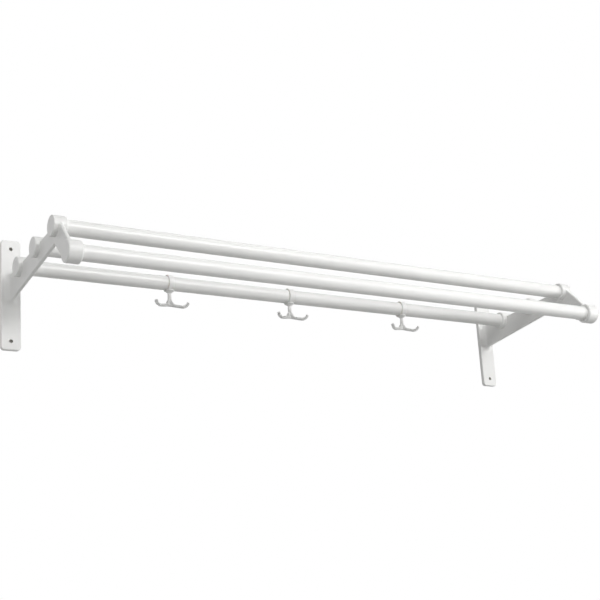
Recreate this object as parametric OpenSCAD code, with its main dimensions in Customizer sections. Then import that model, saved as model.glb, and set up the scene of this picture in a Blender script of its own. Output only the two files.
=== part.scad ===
// Wall hat rack: two cast brackets carry four tubes, and three twin hooks ride on the back tube.
// Millimetres. X runs along the rack, the wall is the plane Y = 0 and the room is at -Y, Z is up.
// The origin lies on the wall, midway between the brackets and midway between the screw holes.

/* [Rack] */
// Distance between the middle planes of the two brackets
bracket_spacing = 1000; // [700:10:1200]
// Outer diameter of every tube
tube_d = 25; // [22:1:26]
// Wall of the tubes
tube_wall = 1.5; // [1:0.5:3]

/* [Tube places] */
// Axis of the back tube, out from the wall
back_out = 65; // [60:1:80]
// Axis of the back tube, above the middle of the wall plate
back_up = 29; // [20:1:40]
// Step from one shelf tube to the next, out from the wall
tube_pitch = 87; // [80:1:100]
// Rise of each shelf tube above the one behind it
tube_rise = 4; // [0:0.5:8]
// Low front tube, out from the top front tube
nose_out = 61.6; // [55:0.1:70]
// Low front tube, down from the top front tube
nose_drop = 60; // [54:1:66]

/* [Sockets] */
// Outer diameter of the three sockets along the arm
socket_d = 33; // [32:0.5:36]
// Outer diameter of the socket at the tip of the nose
low_socket_d = 35; // [32:0.5:38]
// Length of a socket
socket_len = 23; // [20:1:30]
// How far a socket stands out past the bracket's middle plane, away from the tubes
socket_back = 11; // [8:1:14]
// Thickness of the closed end of a socket
socket_floor = 4; // [3:0.5:6]
// Rounding of the closed end's edge
socket_round = 2; // [1:0.1:2.5]
// Rounding of the mouth's edge
mouth_round = 3; // [1:0.1:3]
// Flat ring that is left at least between that rounding and the bore
mouth_flat = 0.6; // [0.4:0.1:1.5]
// Radial gap between a tube and its socket
socket_gap = 0.1; // [0.05:0.05:0.2]
// Gap between a tube's end and the socket's floor
end_gap = 0.5; // [0.2:0.1:1]

/* [Arm and nose] */
// Thickness of the bracket's arm
arm_t = 6; // [5:0.5:8]
// Rounding of the arm's edges
arm_round = 2.2; // [1:0.1:2.4]
// Height of the arm's top edge above the line through the tubes
arm_top = 5; // [3:0.5:8]
// Lower edge of the arm at the wall plate, below the back tube's axis
arm_root_low = 42.5; // [36:0.5:50]
// Lower edge of the arm at the notch, below the back tube's axis
arm_tip_low = 17.6; // [14:0.1:22]
// Tip of the notch, out from the back tube's axis
notch_out = 166.5; // [158:0.5:172]
// Front edge of the nose in front of the top front tube's axis
nose_front_top = 12.5; // [9:0.5:14]
// Front edge of the nose in front of the low front tube's axis
nose_front_low = 8.5; // [6:0.5:12]
// Where the nose's back edge turns in to the low front tube, as a length along the nose before that tube's axis
nose_heel = 20; // [14:0.5:26]
// Radius of the circle round the low front tube's axis that the back edge then ends on
nose_back = 15; // [12:0.5:15.5]
// Radius of the fillets where the arm grows out of the wall plate
root_r = 11; // [4:0.5:12]

/* [Wall plate] */
// Width of the wall plate
plate_w = 33; // [28:1:40]
// Height of the wall plate
plate_h = 188; // [170:2:220]
// Thickness of the wall plate
plate_t = 7; // [5:0.5:10]
// Radius of the wall plate's corners
plate_corner = 6; // [4:0.5:10]
// Rounding of the wall plate's front edges
plate_round = 1.5; // [0.8:0.1:2.5]
// Distance between the two screw holes of a plate
screw_spacing = 158; // [140:2:160]
// Diameter of a screw hole
screw_d = 6.2; // [5:0.1:8]

/* [Hooks] */
// Place of the left hook along the tube
left_hook_x = -242; // [-300:1:-150]
// Place of the middle hook along the tube
middle_hook_x = -4; // [-60:1:60]
// Place of the right hook along the tube
right_hook_x = 245; // [150:1:300]
// Width of a hook's ring
ring_w = 10; // [8:0.5:12]
// Wall of a hook's ring
ring_wall = 1.6; // [1.5:0.1:2.5]
// Rounding of the ring's outer edges
ring_round = 0.6; // [0.3:0.1:0.8]
// Radius of the boss under the ring
boss_r = 9; // [8:0.5:11]
// Height of the boss where it narrows to the stem
boss_h = 4.6; // [3:0.1:6]
// Width of the stem
stem_w = 6.6; // [5.5:0.1:8]
// Depth of the stem
stem_depth = 5; // [4:0.1:6]
// Top of the horns at the stem, below the tube's axis
stem_len = 36.5; // [35:0.1:42]
// Thickness of a horn
horn_t = 5.2; // [4:0.1:5.8]
// Width of a horn
horn_w = 6.8; // [5.5:0.1:8]
// Angle by which each horn leans forward
horn_lean = 24; // [10:1:30]
// Reach of a horn's lowest point from the stem's axis
horn_out = 23.2; // [20:0.1:26]
// Drop of a horn's lowest point below its start
horn_drop = 3.2; // [2:0.1:6]
// Radius of the bend that a coat hangs in
horn_r = 9.9; // [8:0.1:11]
// Angle through which a horn curls up from its lowest point
horn_curl = 66; // [50:1:85]
// Radius of the bend where a horn leaves the stem
shoulder_r = 10; // [8:0.5:12]
// Height that the fillet between the stem and the horns adds at the stem's axis
crotch_h = 19; // [8:0.5:20.5]
// Reach of that fillet from the stem's axis
crotch_reach = 12.5; // [9:0.5:13.5]
// How sharply that fillet dies away, from a straight slope to a deep hollow
crotch_fade = 3; // [2:0.5:4]

/* [Hook bushes] */
// Wall of the bush that lines a hook's ring
bush_wall = 0.8; // [0.6:0.1:1.2]
// Height of the bush's end flanges
bush_lip = 0.8; // [0.4:0.1:1]
// Thickness of the bush's end flanges
bush_lip_t = 0.6; // [0.4:0.1:1]
// Width of the slit that lets the bush spring into the ring
bush_slit = 1.5; // [1:0.1:3]
// Running gap between tube and bush, and between bush and ring
run_gap = 0.1; // [0.05:0.01:0.1]

/* [Hidden] */
$fn = 96;
// Small overlap that makes joined shapes one solid and lets cutters run past a face
bite = 0.5;
// How deep the root fillet runs out inside the arm's skin, and how far the arm's rounding swells past it
root_sunk = 0.1;
arm_crease = 0.04;
// Flat strip that the root fillet leaves beside the plate's rounded edge
root_land = 0.5;
// How far the arm runs on past the top front tube's axis, and the nose's back edge up into the arm
arm_past = 2;
nose_sunk = 16;

// Places in the side view: first value out from the wall, second value up
back_at = [back_out, back_up];
middle_at = back_at + [tube_pitch, tube_rise];
top_front_at = middle_at + [tube_pitch, tube_rise];
low_front_at = top_front_at + [nose_out, -nose_drop];
sockets = [[back_at, socket_d], [middle_at, socket_d], [top_front_at, socket_d], [low_front_at, low_socket_d]];

// Arm and nose in the side view
arm_root = [plate_t, back_up - arm_root_low];
notch_at = back_at + [notch_out, -arm_tip_low];
arm_low_slope = (notch_at[1] - arm_root[1]) / (notch_at[0] - arm_root[0]);
nose_dir = atan2(-nose_drop, nose_out);
nose_len = norm([nose_out, nose_drop]);
// The front edge leans towards the tube line because it starts further out than it ends
front_dir = nose_dir - asin((nose_front_top - nose_front_low) / nose_len);
front_top = top_front_at + nose_front_top * turned(front_dir + 90);
front_low = low_front_at + nose_front_low * turned(front_dir + 90);
// The back edge runs from the notch along the nose to the heel, and on to a tangent of a circle round the low tube
nose_run = (low_front_at - notch_at) * turned(nose_dir) - nose_heel;
heel = notch_at + nose_run * turned(nose_dir);
heel_to_low = low_front_at - heel;
heel_dir = atan2(heel_to_low[1], heel_to_low[0]) - asin(nose_back / norm(heel_to_low));
back_low = low_front_at + nose_back * turned(heel_dir - 90);
// The root fillet is limited by the plate's width
root_fillet_r = min(root_r, (plate_w - arm_t) / 2 - plate_round - root_land);

socket_bore_d = tube_d + 2 * socket_gap;
tube_len = bracket_spacing + 2 * (socket_back - socket_floor - end_gap);

// Hook, from the tube outwards
bush_in_r = tube_d / 2 + run_gap;
bush_out_r = bush_in_r + bush_wall;
bush_lip_r = bush_out_r + bush_lip;
ring_in_r = bush_out_r + run_gap;
ring_out_r = ring_in_r + ring_wall;
boss_top = ring_in_r + run_gap;
// The boss begins beside the ring's bore, halfway down
boss_up = ring_in_r / 2;
horn_start = stem_len + horn_t / 2;
horn_low = horn_start + horn_drop;
// The straight run of a horn is the inner tangent of its shoulder and of its lower bend
shoulder_at = [stem_w / 2, -horn_start - shoulder_r];
bend_at = [horn_out, -horn_low + horn_r];
bend_step = bend_at - shoulder_at;
horn_dip = asin((shoulder_r + horn_r) / norm(bend_step)) - atan2(bend_step[1], bend_step[0]);
horn_run_from = shoulder_at + shoulder_r * [sin(horn_dip), cos(horn_dip)];
horn_run_to = bend_at - horn_r * [sin(horn_dip), cos(horn_dip)];
// Ways along a horn where its straight start, its shoulder and its straight run end
run_in_end = stem_w / 2;
shoulder_end = run_in_end + shoulder_r * horn_dip * PI / 180;
run_end = shoulder_end + norm(horn_run_to - horn_run_from);
horn_len = run_end + horn_r * (horn_dip + horn_curl) * PI / 180;
// Facets of the horns: sections on each side of the stem, sides of a section, rings of a round end
horn_rings = 28;
horn_sides = 16;
tip_rings = 4;
// Share of a ring's step that stays flat at the very tip
tip_flat = 0.5;
// Small step along the bar that gives its direction
horn_nudge = 0.01;

white_paint = [0.93, 0.93, 0.92];
white_plastic = [0.88, 0.88, 0.86];

function turned(angle) = [cos(angle), sin(angle)];

// Turns a side view, drawn with x out from the wall and y up, so that its depth runs along X
module side_view() {
    rotate([90, 0, -90]) children();
}

// What a rounded edge leaves out of a square corner at the origin; the solid lies at -x and -y.
// The arc may swell past both faces by ease, so that it meets them in a faint crease.
module round_profile(r, ease = 0) {
    difference() {
        translate([-r, -r]) square(r + bite);
        translate([ease - r, ease - r]) circle(r);
    }
}

// Bracket, in side view round its own middle plane, with the closed ends of the sockets at +z

// Bar as thick as the arm, with the listed edges rounded on both faces.
// The solid lies to the right of each edge.
module bar(outline, edges) {
    difference() {
        linear_extrude(arm_t, center = true) polygon(outline);
        for (edge = edges, face = [0, 1])
            mirror([0, 0, face]) edge_cut(edge[0], edge[1] - edge[0]);
    }
}

module edge_cut(start, run) {
    translate([start[0], start[1], arm_t / 2])
        rotate([0, 0, atan2(run[1], run[0])])
            rotate([90, 0, 90])
                linear_extrude(norm(run)) round_profile(arm_round, arm_crease);
}

// Arm from the wall plate to the top front tube, where it ends inside the nose
module arm() {
    low_start = arm_root - bite * [1, arm_low_slope];
    low_end = notch_at + (top_front_at[0] + arm_past - notch_at[0]) * [1, arm_low_slope];
    high_start = [plate_t - bite, back_up + arm_top];
    high_bend = back_at + [0, arm_top];
    high_end = top_front_at + [0, arm_top] + arm_past * [1, tube_rise / tube_pitch];
    bar([low_start, low_end, high_end, high_bend, high_start],
        [[low_end, low_start], [high_bend, high_end], [high_start, high_bend]]);
}

// Nose from the top front tube to the low front tube; it starts inside the arm, above the notch
module nose() {
    back_top = notch_at - nose_sunk * turned(nose_dir);
    bar([back_top, top_front_at, front_top, front_low, low_front_at, back_low, heel],
        [[back_low, heel], [heel, back_top], [front_top, front_low]]);
}

// Fillet that carries the arm into the wall plate, all the way round the arm
module root_fillet() {
    low = arm_root[1] + root_fillet_r * arm_low_slope + arm_round;
    high = back_up + arm_top - arm_round;
    side = arm_t / 2 - arm_round;
    translate([plate_t, 0, 0]) {
        for (y = [low, high], z = [-side, side])
            translate([0, y, z])
                rotate([0, 90, 0])
                    rotate_extrude() root_profile();
        for (face = [0, 1])
            mirror([0, 0, face])
                translate([0, low, side])
                    rotate([0, -90, -90])
                        linear_extrude(high - low) root_profile();
        for (end = [[low, 0], [high, 1]])
            translate([0, end[0], 0])
                linear_extrude(2 * side, center = true)
                    mirror([0, end[1]]) rotate(-90) root_profile();
    }
}

// Hollow quarter arc: x runs out from the middle of the arm's rounded edge, y up from the plate's face
module root_profile() {
    foot = arm_round + root_fillet_r - root_sunk;
    difference() {
        translate([0, -bite]) square([foot, root_fillet_r + bite]);
        translate([foot, root_fillet_r]) circle(root_fillet_r);
    }
}

// Wall plate with round corners and rounded front edges
module wall_plate() {
    flat = plate_t - plate_round;
    corner_x = plate_w / 2 - plate_corner;
    corner_y = plate_h / 2 - plate_corner;
    inner = plate_corner - plate_round;
    difference() {
        rotate([0, 90, 0])
            union() {
                plate_layer(plate_corner, flat);
                plate_layer(inner, plate_t);
                for (x = [-corner_x, corner_x], y = [-corner_y, corner_y])
                    translate([x, y, flat])
                        rotate_extrude() translate([inner, 0]) circle(plate_round);
                for (x = [-1, 1])
                    translate([x * (corner_x + inner), corner_y, flat])
                        rotate([90, 0, 0]) cylinder(h = 2 * corner_y, r = plate_round);
                for (y = [-1, 1])
                    translate([-corner_x, y * (corner_y + inner), flat])
                        rotate([0, 90, 0]) cylinder(h = 2 * corner_x, r = plate_round);
            }
        for (y = [-1, 1])
            translate([-bite, y * screw_spacing / 2, 0])
                rotate([0, 90, 0]) cylinder(h = plate_t + 2 * bite, d = screw_d);
    }
}

// One layer of the plate: round corners of radius r about the plate's corner centres
module plate_layer(r, h) {
    corner_x = plate_w / 2 - plate_corner;
    corner_y = plate_h / 2 - plate_corner;
    linear_extrude(h) {
        square([2 * corner_x, 2 * (corner_y + r)], center = true);
        square([2 * (corner_x + r), 2 * corner_y], center = true);
        for (x = [-corner_x, corner_x], y = [-corner_y, corner_y])
            translate([x, y]) circle(r);
    }
}

// One socket of diameter d, turned from its profile: rounded closed end, well rounded mouth
module socket(d) {
    r = d / 2;
    lip = min(mouth_round, r - socket_bore_d / 2 - mouth_flat);
    translate([0, 0, socket_back - socket_len])
        rotate_extrude()
            difference() {
                square([r, socket_len]);
                translate([r, socket_len]) round_profile(socket_round);
                translate([r, 0]) mirror([0, 1]) round_profile(lip);
            }
}

// Blind bore that a tube sits in
module socket_bore() {
    translate([0, 0, socket_back - socket_len - bite])
        cylinder(h = socket_len - socket_floor + bite, d = socket_bore_d);
}

module bracket() {
    color(white_paint)
        side_view()
            difference() {
                union() {
                    wall_plate();
                    arm();
                    nose();
                    root_fillet();
                    for (s = sockets)
                        translate(s[0]) socket(s[1]);
                }
                for (s = sockets)
                    translate(s[0]) socket_bore();
            }
}

module left_bracket() {
    translate([-bracket_spacing / 2, 0, 0]) bracket();
}

module right_bracket() {
    mirror([1, 0, 0]) left_bracket();
}

// Tubes
module tube(place) {
    color(white_paint)
        translate([0, -place[0], place[1]])
            rotate([0, 90, 0])
                difference() {
                    cylinder(h = tube_len, d = tube_d, center = true);
                    cylinder(h = tube_len + 2 * bite, d = tube_d - 2 * tube_wall, center = true);
                }
}

// Twin hook, round the tube's axis, hanging down

// Ring round the tube, with its outer edges rounded
module hook_ring() {
    rotate([0, 90, 0])
        rotate_extrude()
            difference() {
                translate([0, -ring_w / 2]) square([ring_out_r, ring_w]);
                translate([ring_out_r, ring_w / 2]) round_profile(ring_round);
                translate([ring_out_r, -ring_w / 2]) mirror([0, 1]) round_profile(ring_round);
            }
}

// Boss that spreads under the ring and narrows to the stem
module hook_boss() {
    translate([0, 0, -boss_top]) cylinder(h = boss_top - boss_up, r = boss_r);
    translate([0, 0, -boss_top - boss_h]) cylinder(h = boss_h, r1 = stem_depth / 2 - bite, r2 = boss_r);
}

// Bore of the ring, wider beside the ring where the bush's flanges run
module hook_bore() {
    rotate([0, 90, 0])
        rotate_extrude() {
            translate([0, -boss_r - bite]) square([ring_in_r, 2 * (boss_r + bite)]);
            for (end = [0, 1])
                mirror([0, end])
                    translate([0, ring_w / 2]) square([bush_lip_r + run_gap, boss_r]);
        }
}

module hook_stem() {
    round_r = stem_depth / 2;
    translate([0, 0, -horn_start])
        linear_extrude(horn_start - boss_top) {
            square([stem_w - 2 * round_r, stem_depth], center = true);
            for (side = [-1, 1])
                translate([side * (stem_w / 2 - round_r), 0]) circle(round_r);
        }
}

// Centre line of a horn in its own upright plane, at the way w along it from the stem's axis
function horn_line(w) =
    w < run_in_end ? [w, -horn_start]
    : w < shoulder_end ? shoulder_at + shoulder_r * turned(90 - degrees(w - run_in_end, shoulder_r))
    : w < run_end ? horn_run_from + (w - shoulder_end) * turned(-horn_dip)
    : bend_at + horn_r * turned(-90 - horn_dip + degrees(w - run_end, horn_r));
function degrees(way, r) = way / r * 180 / PI;

// The two horns are one bar from tip to tip: k runs from -1 at the left tip to 1 at the right tip
function horn_place(k) =
    let (p = horn_line(abs(k) * horn_len), side = k < 0 ? -1 : 1)
    [side * p[0] * cos(horn_lean), -sin(horn_lean) * (norm([p[0], stem_w]) - stem_w), p[1]];
function unit(v) = v / norm(v);
function horn_way(k) = unit(horn_place(k + horn_nudge) - horn_place(k - horn_nudge));

// The bar is deeper where it meets the stem, which makes the fillet of the casting
function crotch(k) = crotch_h * pow(max(0, 1 - abs(k) * horn_len / crotch_reach), crotch_fade);

// Oval section of the bar at k, moved on by the way past and drawn in by the factor fine
function horn_section(k, past = 0, fine = 1) =
    let (way = horn_way(k), across = unit(cross(way, [0, 0, 1])), up = cross(across, way),
         middle = horn_place(k) + past * way + crotch(k) / 2 * up)
    [for (i = [0:horn_sides - 1])
        let (turn = 360 * i / horn_sides)
        middle + fine * (horn_w / 2 * cos(turn) * across + (horn_t + crotch(k)) / 2 * sin(turn) * up)];

// Round end of the bar
function horn_end(side) =
    [for (i = [1:tip_rings])
        let (turn = 90 * i / (tip_rings + tip_flat))
        horn_section(side, side * horn_t / 2 * sin(turn), cos(turn))];
function backwards(list) = [for (i = [len(list) - 1:-1:0]) list[i]];

module horns() {
    sections = concat(backwards(horn_end(-1)), [for (k = [-horn_rings:horn_rings]) horn_section(k / horn_rings)],
                      horn_end(1));
    last = len(sections) - 1;
    sides = [for (j = [0:last - 1], i = [0:horn_sides - 1])
        let (a = j * horn_sides + i, b = j * horn_sides + (i + 1) % horn_sides)
        each [[a, b, b + horn_sides], [a, b + horn_sides, a + horn_sides]]];
    ends = [[for (i = [horn_sides - 1:-1:0]) i], [for (i = [0:horn_sides - 1]) last * horn_sides + i]];
    polyhedron([for (section = sections) each section], concat(sides, ends));
}

module hook(x) {
    color(white_paint)
        translate([x, -back_at[0], back_at[1]])
            difference() {
                union() {
                    hook_ring();
                    hook_boss();
                    hook_stem();
                    horns();
                }
                hook_bore();
            }
}

// Split liner inside a hook's ring, with a low flange at each end
module hook_bush(x) {
    inner = ring_w / 2 + run_gap;
    outer = inner + bush_lip_t;
    color(white_plastic)
        translate([x, -back_at[0], back_at[1]])
            difference() {
                rotate([0, 90, 0])
                    rotate_extrude()
                        difference() {
                            translate([bush_in_r, -outer]) square([bush_wall + bush_lip, 2 * outer]);
                            translate([bush_out_r, -inner]) square([bush_lip + bite, 2 * inner]);
                        }
                translate([0, 0, ring_in_r])
                    cube([2 * (outer + bite), bush_slit, ring_in_r], center = true);
            }
}

left_bracket();
right_bracket();
tube(back_at);  // back_tube
tube(middle_at);  // middle_tube
tube(top_front_at);  // top_front_tube
tube(low_front_at);  // low_front_tube
hook(left_hook_x);  // left_hook
hook(middle_hook_x);  // middle_hook
hook(right_hook_x);  // right_hook
hook_bush(left_hook_x);  // left_hook_bush
hook_bush(middle_hook_x);  // middle_hook_bush
hook_bush(right_hook_x);  // right_hook_bush
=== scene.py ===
import math

import bpy
from mathutils import Matrix, Vector

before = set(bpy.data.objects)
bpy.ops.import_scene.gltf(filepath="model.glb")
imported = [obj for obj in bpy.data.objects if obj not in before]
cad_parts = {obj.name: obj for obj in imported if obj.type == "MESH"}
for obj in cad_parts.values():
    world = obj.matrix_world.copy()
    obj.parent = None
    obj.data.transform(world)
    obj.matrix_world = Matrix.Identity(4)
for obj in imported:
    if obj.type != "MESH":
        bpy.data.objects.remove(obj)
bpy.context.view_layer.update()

# Wall hat rack of white painted castings and tubes, in metres, with the wall at Y = 0 and the room at -Y

MM = 0.001

# The photograph's camera, found from the edges of the tubes, sockets and wall plates. Its angles are in
# degrees: turned towards +X from facing the wall, tilted up, and rolled anticlockwise.
CAMERA_AT = Vector((-1048.461, -1812.812, -593.833)) * MM
CAMERA_TURN = 31.204
CAMERA_TILT = 13.557
CAMERA_ROLL = -3.692
PHOTO_PX = 600
FOCAL_PX = 1166.338
# The row of the picture that the camera points at
CENTRE_ROW_PX = 366.714
SENSOR_MM = 36
# How far the camera sees, which is past the floor's edges
VIEW_REACH = 100

# Softboxes stand this far out from the middle of the rack and face a point under its shelf
LAMP_REACH = 3.2
LAMP_TARGET = Vector((0, -0.15, 0))
# Each has its azimuth from the front towards +X and its elevation in degrees, its width and height in
# metres, its power in watts, and the angle of its beam in degrees. A grid on the box keeps the beam narrow,
# so that little of it falls on the floor.
LAMPS = {
    "long_strip": (25, 25, 2.6, 0.3, 3.8, 80),
    "low_strip": (10, 13, 2.0, 0.3, 0.5, 70),
    "front_softbox": (12, 18, 1.6, 0.5, 2.4, 60),
    "high_softbox": (0, 38, 1.2, 1.2, 2.3, 60),
    "left_softbox": (-35, 28, 1.2, 1.2, 1.3, 60),
    "right_softbox": (58, -2, 0.5, 0.5, 4.0, 60),
    "side_softbox": (-80, -5, 1.2, 1.2, 1.9, 60),
    "back_softbox": (165, 15, 1.2, 1.2, 2.4, 60),
}
# White reflector low in front of the rack, with its width, depth, power and beam
REFLECTOR_AT = Vector((0, -1.2, -1.4))
REFLECTOR = (1.5, 0.8, 1.2, 100)
# Strength of the light that falls evenly from all round, where white is 1
ROOM_LIGHT = 0.2

# The rack hangs at head height above the floor, which reaches this far to each side of it
FLOOR_LEVEL = -1.6
FLOOR_REACH = 30.0
# Strength of the floor's own light, which only the camera and gloss see
FLOOR_LIFT = 0.55

# Colours as sRGB. A paint has one for where its film is thick and one for where it is thin.
CAST_WHITE = "#F2F2F0"
CAST_SHADE = "#ECECEA"
TUBE_WHITE = "#F4F4F2"
TUBE_SHADE = "#EFEFED"
NYLON_WHITE = "#E4E3DE"
NYLON_SHADE = "#D9D8D1"
# Painted shade for the walls of the screw holes: a darker grey that stands in for the shade inside them
HOLE_SHADE = "#CFCDC8"
# Wall patches behind the screw holes, which are there to put shade in the holes
SHADED_WALL = "#E6E5E1"
FLOOR_PALE = "#E9E9E8"

# Screw holes of both plates: how far each is from the middle of the rack, and its radius
HOLE_X = 500 * MM
HOLE_Z = 79 * MM
HOLE_R = 3.1 * MM
# The painted shade in a screw hole starts this far outside the hole's wall, so that it covers all of the
# wall
HOLE_MARGIN = 0.02 * MM
# A round patch of wall lies behind each hole, this much wider than the hole and this far behind the plate.
# The patches are there only so that the holes show shade instead of the white backdrop.
PATCH_MARGIN = 0.2 * MM
PATCH_GAP = 0.3 * MM
PATCH_SIDES = 32

# Numbers of a Mix node's colour sockets, whose names its other sockets share
MIX_FIRST = 6
MIX_SECOND = 7
MIX_RESULT = 2


def linear(code):
    """An sRGB hex colour as the linear values that a shader wants."""
    parts = [int(code[i:i + 2], 16) / 255 for i in (1, 3, 5)]
    return [v / 12.92 if v <= 0.04045 else ((v + 0.055) / 1.055) ** 2.4 for v in parts] + [1.0]


def add_node(tree, kind, inputs=None, **settings):
    """Adds a node with its settings, and links or sets its inputs, which are named or numbered."""
    node = tree.nodes.new(kind)
    for name, value in settings.items():
        setattr(node, name, value)
    for key, value in (inputs or {}).items():
        if isinstance(value, bpy.types.NodeSocket):
            tree.links.new(value, node.inputs[key])
        else:
            node.inputs[key].default_value = value
    return node


def new_material(name):
    """A material with no nodes yet."""
    material = bpy.data.materials.new(name)
    material.use_nodes = True
    material.node_tree.nodes.clear()
    return material


def in_screw_hole(tree, place):
    """1 on the wall of a screw hole and 0 elsewhere. The holes mirror each other, so one stands for all."""
    mirrored = add_node(tree, "ShaderNodeVectorMath", {0: place}, operation="ABSOLUTE").outputs["Vector"]
    offset = add_node(tree, "ShaderNodeVectorMath", {0: mirrored, 1: (HOLE_X, 0, HOLE_Z)},
                      operation="SUBTRACT").outputs["Vector"]
    across = add_node(tree, "ShaderNodeVectorMath", {0: offset, 1: (1, 0, 1)},
                      operation="MULTIPLY").outputs["Vector"]
    distance = add_node(tree, "ShaderNodeVectorMath", {0: across}, operation="LENGTH").outputs["Value"]
    return add_node(tree, "ShaderNodeMath", {0: distance, 1: HOLE_R + HOLE_MARGIN},
                    operation="LESS_THAN").outputs["Value"]


def painted(name, thick, thin, cloud_mm, roughness, drift, wave_mm, wave_depth_mm, peel_mm, peel_depth_mm,
            shaded_holes=False):
    """White paint on metal: orange peel in the film, over the slow waves of the metal, and clouds of tone
    and gloss where the film is thicker. Real peel is a millimetre or two across, so it shows close up, and
    the waves are what shows from the camera's place."""
    material = new_material(name)
    tree = material.node_tree
    place = add_node(tree, "ShaderNodeTexCoord").outputs["Object"]
    cloud = add_node(tree, "ShaderNodeTexNoise",
                     {"Vector": place, "Scale": 1 / (cloud_mm * MM), "Detail": 2.0}).outputs["Fac"]
    tone = add_node(tree, "ShaderNodeMix",
                    {"Factor": cloud, MIX_FIRST: linear(thick), MIX_SECOND: linear(thin)},
                    data_type="RGBA").outputs[MIX_RESULT]
    if shaded_holes:
        # Painted shade: the walls of the screw holes get a darker grey, which stands in for the shade
        # inside them
        hole = in_screw_hole(tree, place)
        tone = add_node(tree, "ShaderNodeMix",
                        {"Factor": hole, MIX_FIRST: tone, MIX_SECOND: linear(HOLE_SHADE)},
                        data_type="RGBA").outputs[MIX_RESULT]
    gloss = add_node(tree, "ShaderNodeMapRange",
                     {"Value": cloud, "To Min": roughness - drift, "To Max": roughness + drift})
    wave = add_node(tree, "ShaderNodeTexNoise",
                    {"Vector": place, "Scale": 1 / (wave_mm * MM), "Detail": 1.0}).outputs["Fac"]
    metal = add_node(tree, "ShaderNodeBump",
                     {"Strength": 1.0, "Distance": wave_depth_mm * MM, "Height": wave})
    peel = add_node(tree, "ShaderNodeTexNoise",
                    {"Vector": place, "Scale": 1 / (peel_mm * MM), "Detail": 1.0}).outputs["Fac"]
    film = add_node(tree, "ShaderNodeBump",
                    {"Strength": 1.0, "Distance": peel_depth_mm * MM, "Height": peel,
                     "Normal": metal.outputs["Normal"]})
    shader = add_node(tree, "ShaderNodeBsdfPrincipled",
                      {"Base Color": tone, "Roughness": gloss.outputs["Result"], "IOR": 1.5,
                       "Normal": film.outputs["Normal"]})
    add_node(tree, "ShaderNodeOutputMaterial", {"Surface": shader.outputs["BSDF"]})
    return material


def moulded_nylon(swirl_mm):
    """Natural nylon: milky and a little waxy, with the dull skin that a mould leaves and faint swirls of
    the melt."""
    material = new_material("moulded_nylon")
    tree = material.node_tree
    place = add_node(tree, "ShaderNodeTexCoord").outputs["Object"]
    swirl = add_node(tree, "ShaderNodeTexNoise",
                     {"Vector": place, "Scale": 1 / (swirl_mm * MM), "Detail": 3.0}).outputs["Fac"]
    tone = add_node(tree, "ShaderNodeMix",
                    {"Factor": swirl, MIX_FIRST: linear(NYLON_WHITE), MIX_SECOND: linear(NYLON_SHADE)},
                    data_type="RGBA").outputs[MIX_RESULT]
    shader = add_node(tree, "ShaderNodeBsdfPrincipled",
                      {"Base Color": tone, "Roughness": 0.5, "IOR": 1.53, "Subsurface Weight": 0.3,
                       "Subsurface Scale": 1 * MM})
    add_node(tree, "ShaderNodeOutputMaterial", {"Surface": shader.outputs["BSDF"]})
    return material


def dress(kind, material):
    """Gives the CAD nodes of one kind their finish. A node's name ends with its kind."""
    for name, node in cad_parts.items():
        if name.endswith(kind):
            node.data.materials.clear()
            node.data.materials.append(material)


def make_camera():
    """The photograph's view, from low on the left."""
    turn, tilt, roll = (math.radians(a) for a in (CAMERA_TURN, CAMERA_TILT, CAMERA_ROLL))
    forward = Vector((math.sin(turn) * math.cos(tilt), math.cos(turn) * math.cos(tilt), math.sin(tilt)))
    level = Vector((math.cos(turn), -math.sin(turn), 0))
    upright = level.cross(forward)
    right = math.cos(roll) * level + math.sin(roll) * upright
    up = -math.sin(roll) * level + math.cos(roll) * upright
    data = bpy.data.cameras.new("photo_camera")
    data.sensor_width = SENSOR_MM
    data.lens = FOCAL_PX / PHOTO_PX * SENSOR_MM
    data.shift_y = (CENTRE_ROW_PX - PHOTO_PX / 2) / PHOTO_PX
    data.clip_end = VIEW_REACH
    axes = Matrix((right, up, -forward)).transposed()
    camera = bpy.data.objects.new("photo_camera", data)
    camera.matrix_world = Matrix.Translation(CAMERA_AT) @ axes.to_4x4()
    bpy.context.scene.collection.objects.link(camera)
    bpy.context.scene.camera = camera


def softbox(name, place, width, height, power, beam):
    """A lamp that faces the rack and that the camera doesn't see."""
    data = bpy.data.lights.new(name, "AREA")
    data.shape = "RECTANGLE"
    data.size = width
    data.size_y = height
    data.energy = power
    data.spread = math.radians(beam)
    light = bpy.data.objects.new(name, data)
    light.location = place
    light.rotation_euler = (LAMP_TARGET - place).to_track_quat("-Z", "Y").to_euler()
    light.visible_camera = False
    bpy.context.scene.collection.objects.link(light)


def make_lights():
    """All the softboxes and the reflector."""
    for name, (azimuth, elevation, *box) in LAMPS.items():
        turn, rise = math.radians(azimuth), math.radians(elevation)
        way = Vector((math.sin(turn) * math.cos(rise), -math.cos(turn) * math.cos(rise), math.sin(rise)))
        softbox(name, LAMP_REACH * way, *box)
    softbox("floor_reflector", REFLECTOR_AT, *REFLECTOR)


def seen_directly(tree):
    """1 for what the camera, gloss and glass see, and 0 for the light that falls on the rack."""
    rays = add_node(tree, "ShaderNodeLightPath").outputs
    seen = rays["Is Camera Ray"]
    for kind in ("Is Transmission Ray", "Is Glossy Ray"):
        either = add_node(tree, "ShaderNodeMath", {0: seen, 1: rays[kind]}, operation="MAXIMUM")
        seen = either.outputs["Value"]
    return seen


def make_backdrop():
    """White all round for what the camera and gloss see, and an even pale light for the rack."""
    world = bpy.data.worlds.new("studio")
    bpy.context.scene.world = world
    world.use_nodes = True
    tree = world.node_tree
    tree.nodes.clear()
    strength = add_node(tree, "ShaderNodeMapRange",
                        {"Value": seen_directly(tree), "To Min": ROOM_LIGHT, "To Max": 1.0})
    white = add_node(tree, "ShaderNodeBackground",
                     {"Color": (1, 1, 1, 1), "Strength": strength.outputs["Result"]})
    add_node(tree, "ShaderNodeOutputWorld", {"Surface": white.outputs["Background"]})


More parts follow.
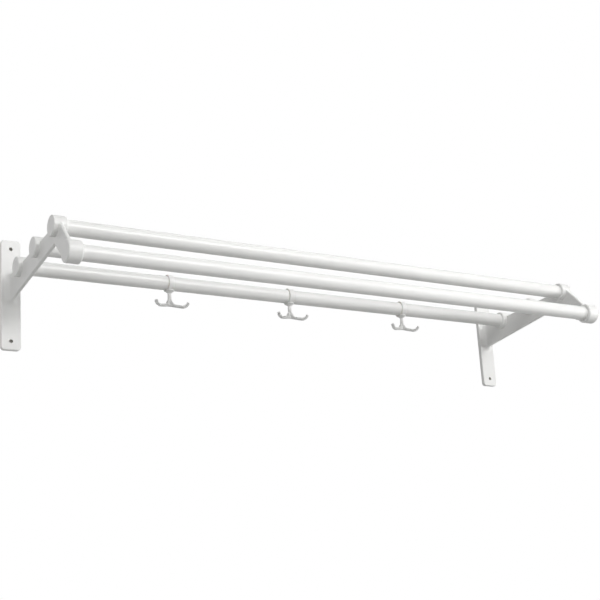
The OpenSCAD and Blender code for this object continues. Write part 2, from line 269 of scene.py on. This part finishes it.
def flat_face(name, corners, material):
    """One flat face with its finish."""
    mesh = bpy.data.meshes.new(name)
    mesh.from_pydata(corners, [], [tuple(range(len(corners)))])
    mesh.materials.append(material)
    face = bpy.data.objects.new(name, mesh)
    bpy.context.scene.collection.objects.link(face)
    return face


def make_floor():
    """A plain pale floor in matt paint, which takes the rack's shadow. The beams spill little on it, so
    Light Path makes it as pale as a well lit floor to the camera and gloss alone."""
    material = new_material("floor_paint")
    tree = material.node_tree
    lift = add_node(tree, "ShaderNodeMath", {0: seen_directly(tree), 1: FLOOR_LIFT}, operation="MULTIPLY")
    shader = add_node(tree, "ShaderNodeBsdfPrincipled",
                      {"Base Color": linear(FLOOR_PALE), "Roughness": 0.8,
                       "Emission Color": linear(FLOOR_PALE), "Emission Strength": lift.outputs["Value"]})
    add_node(tree, "ShaderNodeOutputMaterial", {"Surface": shader.outputs["BSDF"]})
    ways = ((-1, -1), (1, -1), (1, 1), (-1, 1))
    floor = flat_face("floor", [(x * FLOOR_REACH, y * FLOOR_REACH, FLOOR_LEVEL) for x, y in ways], material)


def make_wall_patches():
    """A patch of the wall behind each screw hole, which shows through it and lies in the plate's shade.
    Only these patches of wall are drawn, so that the holes show shade instead of the white backdrop.
    """
    material = new_material("shaded_wall")
    tree = material.node_tree
    shader = add_node(tree, "ShaderNodeBsdfPrincipled",
                      {"Base Color": linear(SHADED_WALL), "Roughness": 0.9})
    add_node(tree, "ShaderNodeOutputMaterial", {"Surface": shader.outputs["BSDF"]})
    radius = HOLE_R + PATCH_MARGIN
    turns = [2 * math.pi * i / PATCH_SIDES for i in range(PATCH_SIDES)]
    for column, x in (("left", -HOLE_X), ("right", HOLE_X)):
        for row, z in (("low", -HOLE_Z), ("high", HOLE_Z)):
            rim = [(x + radius * math.cos(t), PATCH_GAP, z + radius * math.sin(t)) for t in turns]
            patch = flat_face(f"{column}_{row}_wall_patch", rim, material)


make_camera()
# Cast brackets under satin paint: the cast skin waves the film, and highlights lie on it in wide patches
dress("bracket", painted("satin_paint_on_casting", CAST_WHITE, CAST_SHADE, cloud_mm=60, roughness=0.38,
                         drift=0.04, wave_mm=7, wave_depth_mm=0.03, peel_mm=1.4, peel_depth_mm=0.012,
                         shaded_holes=True))
# Small castings, rubbed smoother before the same paint: the film is finer and its highlights are tighter
dress("hook", painted("satin_paint_on_hook", CAST_WHITE, CAST_SHADE, cloud_mm=25, roughness=0.34,
                      drift=0.03, wave_mm=4, wave_depth_mm=0.015, peel_mm=1.0, peel_depth_mm=0.010))
# Drawn tubes under gloss paint: the metal runs true, so highlights lie along it in long clean streaks
dress("tube", painted("gloss_paint_on_tube", TUBE_WHITE, TUBE_SHADE, cloud_mm=90, roughness=0.26,
                      drift=0.01, wave_mm=30, wave_depth_mm=0.008, peel_mm=1.8, peel_depth_mm=0.005))
# Liners in the hooks' rings
dress("bush", moulded_nylon(swirl_mm=4))
make_lights()
make_backdrop()
make_floor()
make_wall_patches()

bpy.context.scene.view_settings.view_transform = "Standard"
